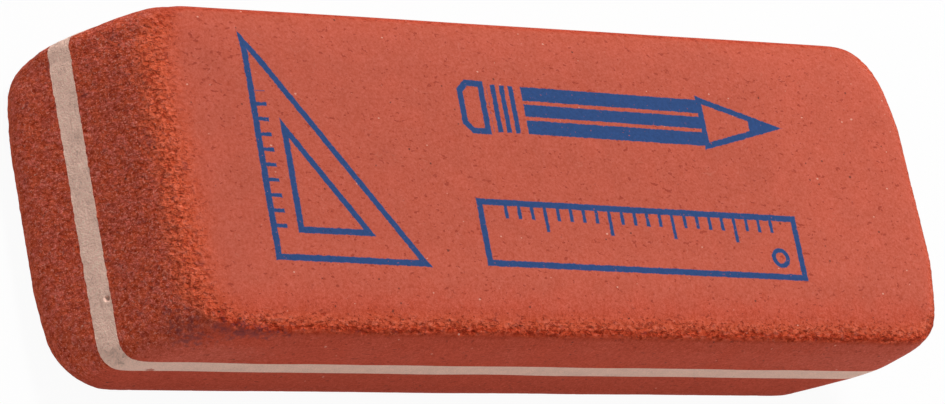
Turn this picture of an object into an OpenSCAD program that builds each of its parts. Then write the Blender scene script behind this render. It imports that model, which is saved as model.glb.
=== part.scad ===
// Block eraser: three sheets of rubber bonded face to face, cut with leaning
// ends and tumbled until every edge and corner is round.
// It lies on its lower face, with its length along X and the origin under its middle.

/* [Block] */
// Overall length, from the foot of one leaning end to the head of the other
block_l = 58.6; // [40:0.1:75]
// Width across the block
block_w = 21; // [14:0.5:30]
// Lean of both ends away from upright, in degrees
end_lean = 33; // [0:1:40]

/* [Layers] */
// Thickness of the lower coloured layer
lower_t = 4.2; // [3:0.1:7]
// Thickness of the pale core layer
core_t = 1.2; // [0.6:0.1:3]
// Thickness of the upper coloured layer
upper_t = 4.6; // [3:0.1:7]

/* [Tumbled edges] */
// Radius worn on the edges round the upper face
upper_edge_r = 2; // [0.5:0.1:2.9]
// Radius worn on the edges round the lower face
lower_edge_r = 1.4; // [0.5:0.1:2.9]
// Radius left in the middle of the sharp edge at the foot of one end
foot_edge_r = 1; // [0.5:0.1:2.9]
// Radius left in the middle of the sharp edge at the head of the other end
head_edge_r = 1.7; // [0.5:0.1:2.9]
// Length over which those two sharp edges blend into their corners
edge_blend = 2.2; // [0.5:0.1:4]
// Corner radius of the upper and lower faces, seen from above
face_corner_r = 3.8; // [3:0.1:6]
// Radius of the upright corners at the core layer
waist_corner_r = 2.6; // [0.5:0.1:3]
// The same on the front left corner, which tumbling has worn least
tight_corner_r = 1.1; // [0.5:0.1:3]

/* [Hidden] */

block_t = lower_t + core_t + upper_t;
lower_seam_z = lower_t;
upper_seam_z = lower_t + core_t;
lean_run = tan(end_lean);
// How far the outer sheets' cuts reach past the block's large faces
past_face = 1;
// Facets round a corner and across an edge, both multiples of four so that
// the rims reach the walls exactly
corner_fn = 48;
edge_fn = 32;

// Where the planes of the two end walls meet the plane under the block. One end
// touches the overall length with its foot, the other with its head.
foot_tip_r = min(foot_edge_r, lower_edge_r);
head_tip_r = min(head_edge_r, upper_edge_r);
left_foot = -block_l / 2 + foot_tip_r * (1 - lean_run - 1 / cos(end_lean));
right_foot = block_l / 2 - block_t * lean_run
    + head_tip_r * (lean_run - 1 + 1 / cos(end_lean));
// Straight stretch in the middle of the two sharp edges
sharp_l = max(1, block_w - 2 * (face_corner_r + edge_blend));

// Places its child near one corner of the block at height z, inset from the
// leaning end by end_inset and from the long side by side_inset. The sides are
// -1 or 1: left or right along X, front or back along Y, where 0 is the middle.
module at_corner(x_side, y_side, z, end_inset, side_inset) {
    foot = x_side < 0 ? left_foot + end_inset : right_foot - end_inset;
    translate([foot + z * lean_run, y_side * (block_w / 2 - side_inset), z])
        children();
}

// Disc with a round edge: one tumbled corner of a large face
module worn_corner(edge_r) {
    rotate_extrude($fn = corner_fn)
        intersection() {
            translate([face_corner_r - edge_r, 0]) circle(r = edge_r, $fn = edge_fn);
            translate([0, -edge_r]) square([face_corner_r, 2 * edge_r]);
        }
}

// The four worn corners of a large face, at the height where its edges start
module worn_rim(z, edge_r) {
    end_inset = edge_r / cos(end_lean) - edge_r + face_corner_r;
    for (x_side = [-1, 1], y_side = [-1, 1])
        at_corner(x_side, y_side, z, end_inset, face_corner_r)
            worn_corner(edge_r);
}

// The middle of a sharp edge, where an end meets a large face at less than a
// right angle. Tumbling wears it less than the corners beside it.
module sharp_edge(x_side, z, edge_r) {
    at_corner(x_side, 0, z, edge_r / cos(end_lean), 0)
        rotate([90, 0, 0])
            cylinder(h = sharp_l, r = edge_r, center = true, $fn = edge_fn);
}

// Radius that an upright corner keeps at the core layer
function waist_r(x_side, y_side) =
    x_side < 0 && y_side < 0 ? tight_corner_r : waist_corner_r;

// The four corners at the core layer, as posts that lean with the ends
module waist_rim() {
    for (x_side = [-1, 1], y_side = [-1, 1]) {
        r = waist_r(x_side, y_side);
        at_corner(x_side, y_side, lower_seam_z, r, r)
            multmatrix([[1, 0, lean_run, 0], [0, 1, 0, 0], [0, 0, 1, 0]])
                cylinder(h = core_t, r = r, $fn = corner_fn);
    }
}

// The whole tumbled block. Its corners are tightest at the core layer and fan
// out to the broad corners of the two large faces.
module tumbled_block() {
    hull() {
        worn_rim(lower_edge_r, lower_edge_r);
        sharp_edge(-1, foot_tip_r, foot_tip_r);
        waist_rim();
        worn_rim(block_t - upper_edge_r, upper_edge_r);
        sharp_edge(1, block_t - head_tip_r, head_tip_r);
    }
}

// The part of the tumbled block between two heights
module sheet(low_z, high_z) {
    intersection() {
        tumbled_block();
        translate([-block_l, -block_w, low_z])
            cube([2 * block_l, 2 * block_w, high_z - low_z]);
    }
}

// Coloured sheet that the block rests on
module lower_layer() {
    color("#b4553f") sheet(-past_face, lower_seam_z);
}

// Thin pale sheet between the two seams
module core_layer() {
    color("#ecc9b4") sheet(lower_seam_z, upper_seam_z);
}

// Coloured sheet that carries the printed face
module upper_layer() {
    color("#c4604a") sheet(upper_seam_z, block_t + past_face);
}

lower_layer();
core_layer();
upper_layer();
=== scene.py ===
import math

import bmesh
import bpy
from mathutils import Euler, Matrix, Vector, noise
from mathutils.bvhtree import BVHTree


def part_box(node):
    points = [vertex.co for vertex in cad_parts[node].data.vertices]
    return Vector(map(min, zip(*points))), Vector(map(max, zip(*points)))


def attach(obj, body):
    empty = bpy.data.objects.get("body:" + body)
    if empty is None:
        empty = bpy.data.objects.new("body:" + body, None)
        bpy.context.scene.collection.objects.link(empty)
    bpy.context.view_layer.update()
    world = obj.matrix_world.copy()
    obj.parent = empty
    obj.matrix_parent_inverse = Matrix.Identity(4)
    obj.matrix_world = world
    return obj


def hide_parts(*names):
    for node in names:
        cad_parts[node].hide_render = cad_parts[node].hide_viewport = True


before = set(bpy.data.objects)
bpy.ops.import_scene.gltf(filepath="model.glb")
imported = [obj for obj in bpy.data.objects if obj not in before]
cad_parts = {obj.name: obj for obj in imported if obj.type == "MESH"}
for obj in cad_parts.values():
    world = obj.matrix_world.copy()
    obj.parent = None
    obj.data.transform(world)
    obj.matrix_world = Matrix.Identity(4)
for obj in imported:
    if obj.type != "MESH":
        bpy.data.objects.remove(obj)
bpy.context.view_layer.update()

bpy.context.scene.view_settings.view_transform = "Standard"

# The modelling is done in millimetres, and each finished mesh is scaled to metres
mm = 1000


def clamp(value, low=0.0, high=1.0):
    return max(low, min(high, value))


def blend(first, second, share):
    return first + (second - first) * share


def ramp(value, start, end):
    # smooth step, 0 at start and 1 at end
    t = clamp((value - start) / (end - start))
    return t * t * (3 - 2 * t)


# The block that the three layers are cut from

block = {
    "layers": ("lower_layer", "core_layer", "upper_layer"),
    "spacing": 0.34,        # between points of the smooth faces; halved on the ends, again at wear
    "skinInset": 4.0,       # how far in from the sides the rays start that find the skin
    "smoothing": 4,         # passes that take the facets off the skin
    "cornerRadius": 3.8,    # upright corners, seen from above
}

_, (coreLo, coreHi), (upperLo, upperHi) = [
    [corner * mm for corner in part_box(name)] for name in block["layers"]]
lowerSeam, upperSeam, height, halfWidth = coreLo.z, coreHi.z, upperHi.z, upperHi.y
# The end walls lean, and run this far to the right for each millimetre up
leanRun = (upperLo.x - coreLo.x) / (coreHi.z - coreLo.z)
leanAngle = math.atan(leanRun)
leftFoot = coreLo.x - coreLo.z * leanRun
rightFoot = coreHi.x - coreHi.z * leanRun
halfLength = (rightFoot - leftFoot) / 2
# Square to an end wall, pointing right and a little down
acrossEnd = Vector((math.cos(leanAngle), 0, -math.sin(leanAngle)))


def middleX(z):
    return (leftFoot + rightFoot) / 2 + z * leanRun


def onLeftEnd(y, z):
    return Vector((leftFoot + z * leanRun, y, z))


def onFront(x, z):
    return Vector((x, -halfWidth, z))


def cadSkin():
    # The CAD layers as one skin, without the faces where they meet
    bm = bmesh.new()
    for name in block["layers"]:
        bm.from_mesh(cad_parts[name].data)
    bmesh.ops.scale(bm, vec=(mm, mm, mm), verts=bm.verts)
    bmesh.ops.remove_doubles(bm, verts=bm.verts, dist=1e-4)
    inner = [f for f in bm.faces
             if any(all(abs(v.co.z - seam) < 1e-3 for v in f.verts)
                    for seam in (lowerSeam, upperSeam))]
    bmesh.ops.delete(bm, geom=inner, context="FACES")
    tree = BVHTree.FromBMesh(bm)
    bm.free()
    return tree


def smooth(bm, verts, passes):
    for _ in range(passes):
        bmesh.ops.smooth_vert(bm, verts=verts, factor=0.5,
                              use_axis_x=True, use_axis_y=True, use_axis_z=True)


def denseBlock(skin):
    # A cube divided along each axis, whose points are then cast out onto the skin
    bm = bmesh.new()
    bmesh.ops.create_cube(bm, size=2)
    half = Vector((halfLength, halfWidth, height / 2))
    for axis in range(3):
        along = [e for e in bm.edges
                 if abs(e.verts[0].co[axis] - e.verts[1].co[axis]) > 0.5]
        cuts = round(2 * half[axis] / block["spacing"]) - 1
        bmesh.ops.subdivide_edges(bm, edges=along, cuts=cuts, use_grid_fill=True)
    inset = Vector((block["skinInset"], block["skinInset"], height / 4))
    for v in bm.verts:
        place = Vector([v.co[i] * half[i] for i in range(3)])
        start = Vector([clamp(place[i], inset[i] - half[i], half[i] - inset[i])
                        for i in range(3)])
        out = place - start
        start.z += half.z
        start.x += middleX(start.z)
        direction = acrossEnd * out.x + Vector((0, out.y, out.z))
        v.co = skin.ray_cast(start, direction.normalized())[0]
    smooth(bm, bm.verts, block["smoothing"])
    return bm


# Where the block is worn and where it is cut. The crest coordinate runs in mm across
# the sharp line where a wall and a face would meet, negative down the wall

wear = {
    # rough: where the crumbly band starts, is full, starts to fade and is gone
    # rubbed: where the rubbed-off hollow starts, is deepest and is gone
    # the bloom and sheen: where the pale bloom of the face, with its painted sheen, starts and is
    # full
    "left": {"rough": (-1.6, -0.9, -0.3, 2.3), "depth": 0.070,
             "rubbed": (-2.1, 0.5, 5.5), "loss": 0.37, "bloomAndSheen": (-0.6, 2.0)},
    "right": {"rough": (-1.6, -0.8, 0.1, 1.8), "depth": 0.035,
              "rubbed": (-0.8, 0.8, 4.0), "loss": 0.04, "bloomAndSheen": (-0.2, 2.2)},
    "side": {"rough": (-0.60, -0.10, 0.0, 2.1), "depth": 0.085,
             "rubbed": (-0.1, 1.4, 4.2), "loss": 0.21, "bloomAndSheen": (0.2, 4.0)},
    "lip": {"reach": (-1.2, -0.45, 0.6), "height": 0.09},   # along the front edge
    "shade": (-0.90, -0.08, 0.55),  # painted shade below the crumbs of the long edges
    # the left end's lower edge: rubbed in the middle, a little fuller at its corners
    "foot": {"reach": (-1.6, -0.3, 1.5), "middle": 0.08, "corner": -0.09, "change": (8.4, 4.0)},
    "under": 0.6,           # the roughness round the lower face, as a share
    "back": 0.22,           # and along the back edge, which is hardly worn
    # the left end's back corner is fuller: where round it, in degrees, low down and high up
    "corner": {"low": (22, 37, 40, 48), "high": (22, 37, 54, 74), "change": (5.2, 8.4),
               "up": (0.5, 3.5, 8.5, 10.3), "by": 0.29},
    "wander": 0.28,         # how far the borders of the band stray, in waves this wide
    "wanderWidth": 1.1,
}

grain = {
    "pit": 0.32,            # width of the pits of the worn band
    "lump": 0.60,
    "cutDepth": 0.034,      # roughness of the sawn ends
    "cutWidth": 0.36,
    "wave": 0.018,          # slow unevenness of the smooth sides
    "waveWidth": 6,
    "smoothing": 4,         # passes that even out the rough places before their relief
}

notch = {
    # a nick at the upper seam of the left end, with the rubber pushed up beside it
    "place": onLeftEnd(-0.625 * halfWidth, upperSeam - 0.20),
    "radius": 0.22, "depth": 0.16,
    "flap": Vector((0, -0.12, -0.22)), "flapRadius": 0.32, "flapHeight": 0.11,
    "refined": 0.8,
}


def rimPlace(co):
    # How far in from the side walls a point lies, and how much it belongs to an end
    radius = block["cornerRadius"]
    alongX = co.x - middleX(co.z)
    overX = abs(alongX) - (halfLength - radius)
    overY = abs(co.y) - (halfWidth - radius)
    inside = radius - math.hypot(max(overX, 0), max(overY, 0)) - min(max(overX, overY), 0)
    atEnd = ramp(overX - overY, -2.5, 2.5)
    return inside * blend(1, math.cos(leanAngle), atEnd), atEnd, alongX


def band(value, start, full, fade, gone):
    return ramp(value, start, full) * ramp(value, gone, fade)


def hump(value, start, top, gone):
    return band(value, start, top, top, gone)


def cornerAt(co):
    # The left end's back corner is blunt, with an edge where the sawn end stops
    corner, radius = wear["corner"], block["cornerRadius"]
    overX = middleX(co.z) - co.x - (halfLength - radius)
    overY = co.y - (halfWidth - radius)
    if overX <= 0 or overY <= 0:
        return 0
    turned = math.degrees(math.atan2(overY, overX))
    wall = ramp(math.hypot(overX, overY), radius - 2.5, radius - 0.6)
    share = ramp(co.z, *corner["change"])
    reach = [blend(a, b, share) for a, b in zip(corner["low"], corner["high"])]
    return corner["by"] * band(turned, *reach) * band(co.z, *corner["up"]) * wall


def wearAt(co):
    # Strength and depth of the roughness, what is rubbed off, bloom with painted sheen, end and
    # painted shade
    inside, atEnd, alongX = rimPlace(co)
    end, side = wear["left"] if alongX < 0 else wear["right"], wear["side"]

    def between(name):
        if isinstance(side[name], float):
            return blend(side[name], end[name], atEnd)
        return [blend(a, b, atEnd) for a, b in zip(side[name], end[name])]

    upper = co.z > height / 2
    crest = inside - min(height - co.z, co.z)
    stray = wear["wander"] * noise.fractal(co / wear["wanderWidth"], 0.6, 2, 3)
    amount = band(crest + stray, *between("rough"))
    loss = between("loss") * hump(crest, *between("rubbed"))
    if co.y < 0:
        loss -= wear["lip"]["height"] * hump(crest, *wear["lip"]["reach"]) * (1 - atEnd)
    start, full = between("bloomAndSheen")
    pale = ramp(crest + 2 * stray, start, full)
    if co.y > 0:
        pale = blend(ramp(crest + 2 * stray, -1.5, 0.5), pale, atEnd)
        amount *= blend(wear["back"], 1, atEnd)
    if upper:
        shade = hump(crest, *wear["shade"]) * (1 - atEnd)
        return amount, between("depth"), loss, pale, atEnd, shade
    if alongX > 0:
        return amount * wear["under"], between("depth"), 0, pale, atEnd, 0
    loss = blend(wear["foot"]["corner"], wear["foot"]["middle"],
                 ramp(abs(co.y), *wear["foot"]["change"]))
    loss *= hump(crest, *wear["foot"]["reach"]) * atEnd
    return amount * wear["under"], between("depth"), loss, pale, atEnd, 0


def cutAt(normal):
    # 1 on the sawn ends and round their upright corners, 0 on the smooth sides
    level = math.hypot(normal.x, normal.y)
    if level < 0.2:
        return 0
    return ramp(abs(normal.x) / level, 0.35, 0.75) * ramp(level, 0.3, 0.7)


def pits(co):
    # Uneven rubber with pits and short cracks in it, longest along the block
    _, atEnd, alongX = rimPlace(co)
    place = Vector(((abs(alongX) - halfLength) * 0.65 + (40 if alongX < 0 else 0),
                    co.y, co.z * blend(1, 0.8, atEnd)))
    rough = noise.fractal(place / grain["pit"], 0.7, 2, 2)
    lumps = noise.fractal(place / grain["lump"] + Vector((7, 3, 5)), 0.7, 2, 2)
    pit = ramp(-rough - 0.25 * lumps, 0.12, 0.55)
    return 0.4 * rough + 0.4 * lumps - 0.6 * pit


def notchAt(co):
    nick = ramp((co - notch["place"]).length, notch["radius"], 0.3 * notch["radius"])
    flap = ramp((co - notch["place"] - notch["flap"]).length, notch["flapRadius"], 0)
    return notch["flapHeight"] * flap - notch["depth"] * nick


def surfaceMasks(bm):
    bm.normal_update()
    worn, cut, bloomAndSheen, atEnd, shade = [
        bm.verts.layers.float.get(name) or bm.verts.layers.float.new(name)
        for name in ("worn", "cut", "bloomAndSheen", "atEnd", "shade")]
    for v in bm.verts:
        v[worn], _, _, v[bloomAndSheen], v[atEnd], v[shade] = wearAt(v.co)
        v[cut] = cutAt(v.normal)
    return worn, cut


def divide(bm, wanted):
    faces = [f for f in bm.faces if any(wanted(v) for v in f.verts)]
    edges = list({e for f in faces for e in f.edges})
    bmesh.ops.subdivide_edges(bm, edges=edges, cuts=1, use_grid_fill=True)


def roughen(bm):
    # Finer points where the surface is rough, then the relief itself
    worn, cut = surfaceMasks(bm)
    divide(bm, lambda v: v[worn] > 0.05 or v[cut] > 0.3)
    worn, cut = surfaceMasks(bm)
    divide(bm, lambda v: v[worn] > 0.3 and v.co.z > upperSeam)
    for share in (1, 0.6):
        divide(bm, lambda v: (v.co - notch["place"]).length < share * notch["refined"])
    worn, cut = surfaceMasks(bm)
    smooth(bm, [v for v in bm.verts if v[worn] > 0.02 or v[cut] > 0.3], grain["smoothing"])
    worn, cut = surfaceMasks(bm)
    relief = bm.verts.layers.float.new("relief")
    for v in bm.verts:
        amount, depth, loss = wearAt(v.co)[:3]
        # squared, as the relief fades sooner than the worn colour does
        rise = amount * amount * depth * pits(v.co) if amount > 0 else 0
        if v[cut] > 0:
            rise += v[cut] * (1 - 0.5 * amount) * grain["cutDepth"] * noise.fractal(
                v.co / grain["cutWidth"], 0.7, 2, 2)
        rise += notchAt(v.co)
        loss -= cornerAt(v.co)
        v[relief] = rise
        wave = grain["wave"] * noise.noise(v.co / grain["waveWidth"])
        if abs(v.normal.z) > 0.9:
            wave *= 0.3
        if v.normal.z < -0.5:
            wave = min(wave, 0) * 0.2
        v.co += v.normal * (rise + wave - loss)


# Cutting the block into its layers

seam = {
    # how far each seam rises and falls, and in waves how wide
    "waver": 0.09, "waverWidth": 5,
    "fine": 0.0225, "fineWidth": 0.5,
    "ragged": 0.022, "raggedWidth": 0.2,    # on the sawn ends only
    "swell": 0.045,         # the core is this much thicker at its sides, above and below
}


def seamWaver(co):
    # The two seams wander apart from each other
    which = ramp(co.z, lowerSeam, upperSeam)
    level = Vector((co.x, co.y, 6 * which))
    atEnd = ramp(abs(co.x - middleX(co.z)), halfLength - 1.2, halfLength - 0.4)
    waver = seam["waver"] * blend(1, 0.4, atEnd) * noise.noise(level / seam["waverWidth"])
    fine = seam["fine"] * noise.noise(level / seam["fineWidth"])
    ragged = seam["ragged"] * atEnd * noise.fractal(level / seam["raggedWidth"], 0.7, 2, 2)
    return waver + fine + ragged + seam["swell"] * (2 * which - 1) * (1 - atEnd)


def sliceBlock(bm, name, low, high):
    # Straightened by the seams' waver, cut level, closed with a lid, and let back
    piece = bm.copy()
    for v in piece.verts:
        v.co.z -= seamWaver(v.co)
    for z, up in ((low, -1), (high, 1)):
        if z is None:
            continue
        cut = bmesh.ops.bisect_plane(
            piece, geom=piece.verts[:] + piece.edges[:] + piece.faces[:], dist=1e-6,
            plane_co=(0, 0, z), plane_no=(0, 0, up), clear_outer=True)
        rim = [e for e in cut["geom_cut"] if isinstance(e, bmesh.types.BMEdge)]
        for e in rim:
            e.smooth = False
        lid = bmesh.ops.holes_fill(piece, edges=rim, sides=0)["faces"]
        bmesh.ops.triangulate(piece, faces=lid, ngon_method="EAR_CLIP")
    for v in piece.verts:
        v.co.z += seamWaver(v.co)
    bmesh.ops.recalc_face_normals(piece, faces=piece.faces)
    bmesh.ops.scale(piece, vec=(1 / mm, 1 / mm, 1 / mm), verts=piece.verts)
    for f in piece.faces:
        f.smooth = True
    mesh = bpy.data.meshes.new(name)
    piece.to_mesh(mesh)
    piece.free()
    triangles = sum(len(p.vertices) - 2 for p in mesh.polygons)
    print("cut", name, "with", triangles, "triangles")
    return bpy.data.objects.new(name, mesh)


bm = denseBlock(cadSkin())
print("block with", len(bm.verts), "points")
roughen(bm)
print("roughened block with", len(bm.verts), "points")
pieces = {}
for name, node, slotName, low, high in (
        ("lower_rubber", "lower_layer", "red_rubber", None, lowerSeam),
        ("core_rubber", "core_layer", "cream_rubber", lowerSeam, upperSeam),
        ("upper_rubber", "upper_layer", "red_rubber", upperSeam, None)):
    piece = sliceBlock(bm, name, low, high)
    bpy.context.scene.collection.objects.link(piece)
    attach(piece, "root")
    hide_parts(node)
    pieces[name] = piece
bm.free()


# Finishes. Wire wraps one shader output, so that node maths reads as an expression

class Wire:
    def __init__(self, socket):
        self.socket = socket

    def also(self, output):
        # another output of the same node
        return Wire(self.socket.node.outputs[output])

    def maths(self, operation, *others, swapped=False, clamped=False):
        inputs = [self, *others]
        if swapped:
            inputs.reverse()
        return addNode(self.socket.id_data, "ShaderNodeMath",
                       {"operation": operation, "use_clamp": clamped},
                       dict(enumerate(inputs)))

    def __add__(self, other):
        return self.maths("ADD", other)

    def __radd__(self, other):
        return self.maths("ADD", other)

    def __sub__(self, other):
        return self.maths("SUBTRACT", other)

    def __rsub__(self, other):
        return self.maths("SUBTRACT", other, swapped=True)

    def __mul__(self, other):
        return self.maths("MULTIPLY", other)

    def __rmul__(self, other):
        return self.maths("MULTIPLY", other)

    def __truediv__(self, other):
        return self.maths("DIVIDE", other)

    def __abs__(self):
        return self.maths("ABSOLUTE")

    def least(self, *others):
        found = self
        for other in others:
            found = found.maths("MINIMUM", other)
        return found

    def most(self, *others):
        found = self
        for other in others:
            found = found.maths("MAXIMUM", other)
        return found

    def clamped(self):
        return self.maths("ADD", 0, clamped=True)

    def ramp(self, start, end):
        # smooth step, 0 at start and 1 at end
        return addNode(self.socket.id_data, "ShaderNodeMapRange",
                       {"interpolation_type": "SMOOTHSTEP"},
                       {"Value": self, "From Min": start, "From Max": end})


def addNode(tree, kind, settings, sockets, output=0):
    node = tree.nodes.new(kind)
    for name, value in settings.items():
        setattr(node, name, value)
    for name, value in sockets.items():
        if isinstance(value, Wire):
            tree.links.new(value.socket, node.inputs[name])
        else:
            node.inputs[name].default_value = value
    return Wire(node.outputs[output])


class Finish:
    # One material, with the nodes that its recipe asks for
    def __init__(self, name, fixed):
        self.material = bpy.data.materials.new(name)
        self.material.use_nodes = True
        self.tree = self.material.node_tree
        self.surface = self.tree.nodes["Principled BSDF"]
        for socket, value in fixed.items():
            self.surface.inputs[socket].default_value = value
        where = self.node("ShaderNodeTexCoord", {}, {}, "Object")
        # places on the object, in millimetres
        self.place = self.node("ShaderNodeMapping", {}, {"Vector": where, "Scale": (mm, mm, mm)})

    def node(self, kind, settings, sockets, output=0):
        return addNode(self.tree, kind, settings, sockets, output)

    def attribute(self, name):
        return self.node("ShaderNodeAttribute", {"attribute_name": name}, {}, "Fac")

    def stretched(self, scale, place=None):
        return self.node("ShaderNodeMapping", {}, {"Vector": place or self.place, "Scale": scale})

    def noise(self, width, detail=2, place=None):
        # from 0 to 1 round 0.5, in patches about as wide as given, in mm
        return self.node("ShaderNodeTexNoise", {}, {
            "Vector": place or self.place, "Scale": 1 / width, "Detail": detail}, "Fac")

    def specks(self, pitch, share, radius, place=None):
        # small dots, in a share of the cells of this pitch, up to the radius in mm
        dots = self.node("ShaderNodeTexVoronoi", {}, {
            "Vector": place or self.place, "Scale": 1 / pitch}, "Distance")
        chance = self.node("ShaderNodeSeparateColor", {}, {"Color": dots.also("Color")}, "Red")
        reach = ((chance - (1 - share)) / share).clamped() * (radius / pitch)
        return (dots - reach).ramp(0.02, -0.02) * chance.ramp(1 - share - 0.001, 1 - share)

    def blot(self, centre, radii, ragged):
        # 1 within a ragged blot of these radii in mm, 0 outside it
        scale = [1 / r for r in radii]
        inside = self.node("ShaderNodeMapping", {}, {
            "Vector": self.place, "Scale": scale,
            "Location": [-c * s for c, s in zip(centre, scale)]})
        far = self.node("ShaderNodeVectorMath", {"operation": "LENGTH"}, {0: inside}, "Value")
        return (far + (self.noise(0.3, 3) - 0.5) * ragged * 2).ramp(1.1, 0.4)

    def mix(self, share, first, second):
        # colours; share is a wire or a number
        node = self.tree.nodes.new("ShaderNodeMix")
        node.data_type = "RGBA"
        for socket, value in ((0, share), (6, first), (7, second)):
            if isinstance(value, Wire):
                self.tree.links.new(value.socket, node.inputs[socket])
            else:
                node.inputs[socket].default_value = (*value, 1) if socket else value
        return Wire(node.outputs[2])

    def shade(self, colour, factor):
        # a colour, as a wire or three numbers, made lighter or darker by a wire round 1
        return self.node("ShaderNodeVectorMath", {"operation": "SCALE"},
                         {0: colour, "Scale": factor})

    def bump(self, relief):
        # relief in millimetres
        return self.node("ShaderNodeBump", {}, {"Height": relief, "Distance": 1 / mm,
                                                "Strength": 1}, "Normal")

    def use(self, **sockets):
        for name, wire in sockets.items():
            self.tree.links.new(wire.socket, self.surface.inputs[name.replace("_", " ")])
        return self.material


# The print on the upper face: a set square, a pencil and a ruler. Each shape is a
# field in mm that is negative where the ink lies

artwork = {
    "turn": -1.1,           # degrees, as the block went under the stamp a little askew
    "line": 0.40,           # weight of the outlines
    "square": {"corner": (-18.0, -6.2), "legs": (9.6, 13.6), "frame": 1.75,
               "tick": 0.85, "pitch": 0.95, "tickLine": 0.24},
    "pencil": {"middle": 4.1, "half": 1.55, "body": (0.4, 13.2), "tip": 18.4, "lead": 16.6,
               "facet": 0.52, "gap": 0.24, "ferrule": (-2.0, -0.1), "ring": 0.62,
               "rubber": (-3.9, -2.4)},
    "ruler": {"middle": (7.2, -4.0), "size": (22.4, 3.9), "pitch": 0.9, "tick": 1.0,
              "longTick": 1.75, "tickLine": 0.24, "hole": (16.9, 0.5)},
}


def slab(along, centre, half):
    return abs(along - centre) - half


def panel(x, y, centre, size):
    return slab(x, centre[0], size[0] / 2).most(slab(y, centre[1], size[1] / 2))


def span(along, ends):
    return slab(along, (ends[0] + ends[1]) / 2, (ends[1] - ends[0]) / 2)


def stroke(field, weight):
    return abs(field) - weight / 2


def comb(along, pitch, weight):
    # bars across a direction, evenly spaced
    return abs((along / pitch).maths("FRACT") - 0.5) * pitch - weight / 2


def setSquare(x, y):
    art = artwork["square"]
    (left, low), (across, up) = art["corner"], art["legs"]
    slope = math.hypot(across, up)
    outline = (left - x).most(low - y, ((x - left) * (up / slope) + (y - low) * (across / slope)
                                        - across * up / slope))
    ticks = comb(y, art["pitch"], art["tickLine"]).most(
        span(x, (left, left + art["tick"])), span(y, (low + 1.2, low + up - 3.2)))
    return stroke(outline, artwork["line"]).least(
        stroke(outline + art["frame"], artwork["line"]), ticks)


def pencil(x, y):
    art = artwork["pencil"]
    fromMiddle = abs(y - art["middle"])
    bodyEnd, tip, half = art["body"][1], art["tip"], art["half"]
    facets = slab(fromMiddle, art["facet"], art["gap"] / 2)
    body = span(x, art["body"]).most(fromMiddle - half, 0 - facets)
    taper = half / (tip - bodyEnd)
    cone = ((fromMiddle - (tip - x) * taper) * math.cos(math.atan(taper))).most(bodyEnd - x)
    point = cone.most(art["lead"] - x)
    ferrule = span(x, art["ferrule"]).most(fromMiddle - half, comb(x, art["ring"], 0.34))
    rounded = span(x, art["rubber"]).most(
        fromMiddle - half, (fromMiddle - half + art["rubber"][0] + 0.5 - x) * 0.7)
    return body.least(stroke(cone, artwork["line"]), point, ferrule,
                      stroke(rounded, artwork["line"]))


def ruler(x, y):
    art = artwork["ruler"]
    (middleAlong, middleUp), (length, width) = art["middle"], art["size"]
    top, half = middleUp + width / 2, length / 2 - 1.6
    inReach = slab(x, middleAlong, half)
    ticks = comb(x, art["pitch"], art["tickLine"]).most(span(y, (top - art["tick"], top)), inReach)
    longTicks = comb(x + art["pitch"] * 2, art["pitch"] * 5, art["tickLine"]).most(
        span(y, (top - art["longTick"], top)), inReach)
    holeX, holeRadius = art["hole"]
    overX, overY = x - holeX, y - (middleUp - 0.7)
    hole = (overX * overX + overY * overY).maths("SQRT") - holeRadius
    return stroke(panel(x, y, art["middle"], art["size"]), artwork["line"]).least(
        ticks, longTicks, stroke(hole, 0.3))


redRubber = {
    "plain": (0.545, 0.073, 0.035),      # pressed sides
    "bloomAndSheen": (0.508, 0.0977, 0.0572),    # the broad faces, a little paler: pale bloom and painted sheen
    "haze": (0.565, 0.098, 0.057),       # thin bloom in places on the sides
    "worn": (0.510, 0.084, 0.036),       # freshly rubbed rubber
    "sawn": (0.590, 0.085, 0.034),       # the ends, in patches of two hues
    "rosy": (0.570, 0.091, 0.050),
    "paintedShadow": (0.510, 0.054, 0.018),       # painted shadow under the crumbs of the long edges
    "crackShade": (0.300, 0.016, 0.004),      # painted shade in the strokes between the crumbs
    # painted shade in the pores
    "poreShade": (0.300, 0.036, 0.018),
    "soot": (0.075, 0.024, 0.018),       # dark specks and dirt
    "dusk": (0.130, 0.040, 0.055),       # patches of graphite rubbed into the crumbs
    "chalk": (0.82, 0.42, 0.32),         # pale specks
    "fleck": (0.80, 0.27, 0.20),         # light grains of the sawn ends
    "ink": (0.022, 0.061, 0.185),
    # pitch, share of the cells that hold a speck, and radius
    "sootSpecks": (0.62, 0.3, 0.085),
    "chalkSpecks": (0.75, 0.4, 0.085),
    # the middle of the upper face, a little darker
    "darkerMiddle": {"middle": (-1.5, 2.0), "size": (38, 13.5), "by": 0.06},
}

creamRubber = {
    "plain": (0.902, 0.585, 0.470),
    "dirt": (0.35, 0.22, 0.17),
    "red": (0.52, 0.12, 0.07),
    "dirtSpecks": (0.4, 0.25, 0.06),
}

# How far each noise lightens and darkens the red: everywhere, and what is added on the
# bloom with its painted sheen, on the sawn ends and where the edges are worn
mottle = {
    "fine": (0.54, -0.14, 0.56, 0.10),
    "small": (0.60, -0.30, 0.36, 0),
    "middling": (0.22, -0.04, 0.46, 0.30),
    # the crumbs row follows the crumbs' bump: painted light on their tops, painted shade between
    # them
    "crumbs": (0, 0, 0.85, 0.40),
}

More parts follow.
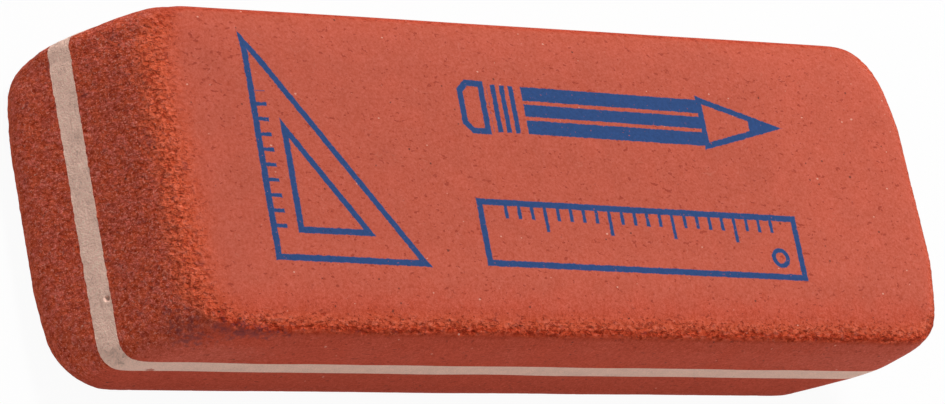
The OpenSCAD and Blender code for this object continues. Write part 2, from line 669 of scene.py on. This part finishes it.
# Single marks: centre, radii in mm, and how ragged each is
marks = {
    "scatter": (onLeftEnd(0.7 * halfWidth, height), (6, 5, 3), 1),
    "rightHaze": (onFront(rightFoot, height - 2.5), (9, 2, 4), 1),
    "leftHaze": (onFront(leftFoot + 7, upperSeam + 1), (6, 2, 2), 1),
    "edgeSmear": (onFront(leftFoot + 8.8, height - 0.85), (3.6, 1.0, 0.55), 1.6),
    "wallSmear": (onFront(leftFoot + 5.8, height - 1.7), (2.0, 2.0, 1.0), 1.4),
    "coreSmear": (onLeftEnd(-0.94 * halfWidth, lowerSeam + 0.75), (0.8, 0.7, 0.55), 1.6),
    "chip": (onFront(leftFoot + 5.8, lowerSeam + 0.12), (0.35, 0.6, 0.2), 1),
}


def redFinish(name, printed):
    look = redRubber
    f = Finish(name, {"Specular IOR Level": 0.15})
    worn, cut, bloomAndSheen, relief, atEnd, shade = [
        f.attribute(layer) for layer in ("worn", "cut", "bloomAndSheen", "relief", "atEnd", "shade")]
    x = f.node("ShaderNodeSeparateXYZ", {}, {"Vector": f.place}, "X")
    leftEnd = atEnd * x.ramp(2, -2)
    rough = cut.most(worn)
    sawn = cut * (1 - worn)
    smoothFace = 1 - rough.clamped()

    def grained(width, detail):
        # grain that is longest along the block, and down its ends
        ends = f.noise(width, detail, f.stretched((0.7, 1, 0.75)))
        sides = f.noise(width, detail, f.stretched((0.65, 1.1, 1.1)))
        return sides + (ends - sides) * atEnd

    # crumbs and hollows of the rough places, dark strokes between the crumbs, and pores
    crumbs, hollows = grained(0.23, 2), grained(0.28, 1)
    fine, small, coarse = f.noise(0.17, 2), f.noise(0.07, 1), f.noise(1.6, 4)
    middling, patches = f.noise(0.38, 2), f.noise(0.8, 2)
    pits = hollows.ramp(0.42, 0.35) * worn * patches.ramp(0.35, 0.55)
    strokes = f.noise(0.20, 1, f.stretched((0.6, 1.15, 0.8))).ramp(0.43, 0.38)
    cracks = strokes.most(abs(grained(0.32, 1) - 0.5).ramp(0.080, 0.040) * 0.85)
    cracks = cracks * worn.ramp(0, 0.3) * (f.noise(0.22, 1) + worn * 0.30).ramp(0.75, 0.80)
    crests = hollows.ramp(0.59, 0.68) * worn
    scatter = f.blot(*marks["scatter"])
    pores = f.noise(0.24, 2, f.stretched((0.7, 1, 1))) - scatter * 0.04
    pores = pores.ramp(0.360, 0.320) * smoothFace * patches.ramp(0.34, 0.52).most(scatter)

    # the colour of each place
    # the broad faces: pale bloom and painted sheen over the plain red
    colour = f.mix(bloomAndSheen, look["plain"], look["bloomAndSheen"])
    if printed:
        haze = f.noise(2.5, 3, f.stretched((1, 1, 0.5))).ramp(0.42, 0.62) * 0.22
        haze = haze.most(f.blot(*marks["rightHaze"]) * 0.6, f.blot(*marks["leftHaze"]) * 0.9)
        colour = f.mix(haze * (1 - shade), colour, look["haze"])
    endHues = f.mix(f.noise(0.55, 2).ramp(0.40, 0.60), look["sawn"], look["rosy"])
    colour = f.mix(cut, colour, endHues)
    colour = f.mix(worn, colour, look["worn"])
    # painted shadow, in deep red, under the crumbs of the long edges
    colour = f.mix(shade * 0.75, colour, look["paintedShadow"])
    # coarse mottling, the darker middle of the upper face, painted shade below the crumbs, and
    # painted light that lifts the worn band's shading, most at the left end
    level = (1 + (coarse - 0.5) * (0.16 + 0.14 * cut) - darkerMiddleFace(x) - shade * 0.02
             + (0.15 * (1 - atEnd) + 0.42 * leftEnd * worn) * worn * worn * (1 - 0.7 * bloomAndSheen))
    # the lower layer: painted shade on its sides, which get less fill light, and painted light on
    # its ends
    if not printed:
        level = level - 0.05 + 0.10 * cut
    # the mottling, which is strongest in rough places; the darker a spot, the deeper its red. The
    # relief and pits terms paint shade in hollows and light on raised places
    grit = ((relief * 0.8).most(-0.08).least(0.08) + 1 - pits * 0.05
            - shade * hollows.ramp(0.50, 0.38) * 0.25)
    noises = {"fine": fine, "small": small, "middling": middling, "crumbs": crumbs}
    for kind, (everywhere, onBloomAndSheen, onSawn, onWorn) in mottle.items():
        amount = bloomAndSheen * onBloomAndSheen + sawn * onSawn + worn * onWorn + everywhere
        grit = grit + (noises[kind] - 0.5) * amount
    squared = grit * grit
    deeper = f.node("ShaderNodeCombineXYZ", {}, {"X": grit, "Y": squared, "Z": squared * grit})
    colour = f.node("ShaderNodeVectorMath", {"operation": "MULTIPLY"},
                    {0: f.shade(colour, level), 1: deeper})
    # strokes and pores, darkened as painted shade; specks, dirt and fibres
    colour = f.mix(cracks * (0.6 - 0.32 * bloomAndSheen), colour, look["crackShade"])
    colour = f.mix(crests * 0.15, colour, look["fleck"])
    colour = f.mix(pores * 0.7, colour, look["poreShade"])
    flecks = f.noise(0.14, 1).ramp(0.61, 0.66) * sawn
    colour = f.mix(flecks * 0.6, colour, look["fleck"])
    smut = f.noise(0.75, 3).ramp(0.61, 0.70) * rough * hollows.ramp(0.62, 0.45)
    colour = f.mix(smut * 0.32, colour, look["dusk"])
    smears = f.blot(*marks["edgeSmear"]).most(f.blot(*marks["wallSmear"]))
    colour = f.mix(smears * (0.35 + 0.2 * hollows.ramp(0.62, 0.40)), colour, look["dusk"])
    colour = f.mix(f.specks(*look["sootSpecks"]) * 0.7, colour, look["soot"])
    chalk = f.specks(*look["chalkSpecks"], f.stretched((1, 1.3, 1)))
    colour = f.mix(chalk * 0.6, colour, look["chalk"])
    fibres = (abs(f.noise(0.9, 0) - 0.5).ramp(0.014, 0.004)
              * f.noise(1.1, 1, f.stretched((1, 1, -1))).ramp(0.60, 0.66))
    colour = f.mix(fibres * (0.08 + 0.12 * cut), colour, look["chalk"])
    if printed:
        ink = f.shade(look["ink"], 0.85 + f.noise(0.5, 4) * 0.3 + (fine - 0.5) * 0.5)
        colour = f.mix(printMask(f), colour, ink)
    bumps = ((crumbs - 0.5) * (0.20 * sawn + 0.14 * worn * worn) - pits * 0.04
             - cracks * (0.05 - 0.03 * bloomAndSheen) + (fine - 0.5) * (0.012 + 0.03 * rough)
             + (small - 0.5) * (0.007 + 0.03 * sawn) - pores * 0.008)
    return f.use(Base_Color=colour, Normal=f.bump(bumps), Roughness=0.82 + rough * 0.15)


def darkerMiddleFace(x):
    darkerMiddle = redRubber["darkerMiddle"]
    dull = panel(x, x.also("Y"), darkerMiddle["middle"], darkerMiddle["size"])
    return dull.ramp(2.5, -2) * x.also("Z").ramp(height - 2, height - 1) * darkerMiddle["by"]


def printMask(f):
    # where the ink lies: ragged at its edges, mottled and missing from the pores
    turned = f.node("ShaderNodeMapping", {}, {
        "Vector": f.place, "Rotation": (0, 0, math.radians(-artwork["turn"]))})
    x = f.node("ShaderNodeSeparateXYZ", {}, {"Vector": turned}, "X")
    y, z = x.also("Y"), x.also("Z")
    field = setSquare(x, y).least(pencil(x, y), ruler(x, y))
    ragged = (f.noise(0.14, 2) - 0.5) * 0.09 + (f.noise(0.5, 2) - 0.5) * 0.10
    bare = f.noise(0.16, 2).ramp(0.31, 0.23)
    return ((field + ragged).ramp(0.035, -0.035) * z.ramp(height - 1, height - 0.5)
            * (1 - bare * 0.7))


def creamFinish(name):
    look = creamRubber
    f = Finish(name, {"Specular IOR Level": 0.15, "Roughness": 0.85})
    cut, relief = f.attribute("cut"), f.attribute("relief")
    fine, coarse, small = f.noise(0.14, 3), f.noise(0.6, 2), f.noise(0.07, 1)
    waves = f.noise(0.5, 2, f.stretched((0.5, 0.4, 2.5)))
    creases = abs(waves - 0.5).ramp(0.02, 0.005) * f.noise(1.3, 1).ramp(0.45, 0.6) * cut
    # painted shade in the nick and the creases, painted light on the raised flap
    tone = (1 + (fine - 0.5) * (0.35 + 0.2 * cut) + (coarse - 0.5) * 0.22
            + (small - 0.5) * (0.3 + 0.1 * cut) - creases * 0.2 + 0.15 * cut
            + (relief * 3).most(-0.35).least(0.15))
    colour = f.mix(f.specks(*look["dirtSpecks"]) * 0.4, look["plain"], look["dirt"])
    smear = f.blot(*marks["coreSmear"]) * (0.16 + 0.3 * f.noise(0.16, 2).ramp(0.45, 0.62))
    colour = f.mix(smear, colour, look["dirt"])
    colour = f.mix(f.blot(*marks["chip"]) * 0.8, colour, look["red"])
    bumps = (fine - 0.5) * (0.012 + 0.06 * cut) + (small - 0.5) * 0.02 * cut - creases * 0.02
    return f.use(Base_Color=f.shade(colour, tone), Normal=f.bump(bumps))


print("mixing the finishes")
pieces["lower_rubber"].data.materials.append(redFinish("red_rubber", False))
pieces["upper_rubber"].data.materials.append(redFinish("printed_red_rubber", True))
pieces["core_rubber"].data.materials.append(creamFinish("cream_rubber"))


# Camera, floor and light

studio = {
    "camera": {"location": (-0.13409, -0.09124, 0.20097), "turn": (27.721, -29.321, -12.475),
               "lens": 161.8},
    "daylight": 0.30,       # strength of the plain white world
    "floor": {"half": 0.6, "drop": 0.00003, "colour": (0.74, 0.74, 0.74, 1), "glow": 0.95},
    # towards the lamp from the block, then distance, size and power
    "key": {"towards": (0.3, 0.5, 0.81), "distance": 0.45, "size": 0.10, "power": 1.75},
    "fill": {"towards": (0.5, -0.8, 0.35), "distance": 0.45, "size": 0.30, "power": 0.278},
}


def placeInScene(name, data):
    thing = bpy.data.objects.new(name, data)
    bpy.context.scene.collection.objects.link(thing)
    return thing


def addCamera():
    data = bpy.data.cameras.new("camera")
    data.lens = studio["camera"]["lens"]
    camera = placeInScene("camera", data)
    camera.location = studio["camera"]["location"]
    camera.rotation_euler = Euler([math.radians(angle) for angle in studio["camera"]["turn"]])
    bpy.context.scene.camera = camera


def addLamp(name):
    settings = studio[name]
    data = bpy.data.lights.new(name, "AREA")
    data.size = settings["size"]
    data.energy = settings["power"]
    lamp = placeInScene(name, data)
    towards = Vector(settings["towards"]).normalized()
    lamp.location = towards * settings["distance"]
    lamp.rotation_euler = towards.to_track_quat("Z", "Y").to_euler()


def seenAsBackdrop(tree):
    # 1 for rays from the camera, mirrors and glass, which see white all round
    rays = addNode(tree, "ShaderNodeLightPath", {}, {}, "Is Camera Ray")
    return (rays + rays.also("Is Glossy Ray") + rays.also("Is Transmission Ray")).clamped()


def addWorld():
    world = bpy.data.worlds.new("daylight")
    bpy.context.scene.world = world
    world.use_nodes = True
    tree = world.node_tree
    plain, white = [addNode(tree, "ShaderNodeBackground", {},
                            {"Color": (1, 1, 1, 1), "Strength": strength})
                    for strength in (studio["daylight"], 1)]
    both = addNode(tree, "ShaderNodeMixShader", {}, {0: seenAsBackdrop(tree), 1: plain, 2: white})
    tree.links.new(both.socket, tree.nodes["World Output"].inputs["Surface"])


def addFloor():
    settings = studio["floor"]
    bm = bmesh.new()
    bmesh.ops.create_grid(bm, x_segments=2, y_segments=2, size=settings["half"])
    bmesh.ops.translate(bm, vec=(0, 0, -settings["drop"]), verts=bm.verts)
    mesh = bpy.data.meshes.new("floor")
    bm.to_mesh(mesh)
    bm.free()
    f = Finish("floor", {"Base Color": settings["colour"], "Roughness": 0.9,
                         "Specular IOR Level": 0})
    white = f.node("ShaderNodeEmission", {}, {"Strength": 1})
    both = f.node("ShaderNodeMixShader", {}, {
        0: seenAsBackdrop(f.tree) * settings["glow"], 1: Wire(f.surface.outputs[0]), 2: white})
    f.tree.links.new(both.socket, f.tree.nodes["Material Output"].inputs["Surface"])
    mesh.materials.append(f.material)
    placeInScene("floor", mesh)


addCamera()
addWorld()
addFloor()
addLamp("key")
addLamp("fill")
print("camera, floor and lamps are set")
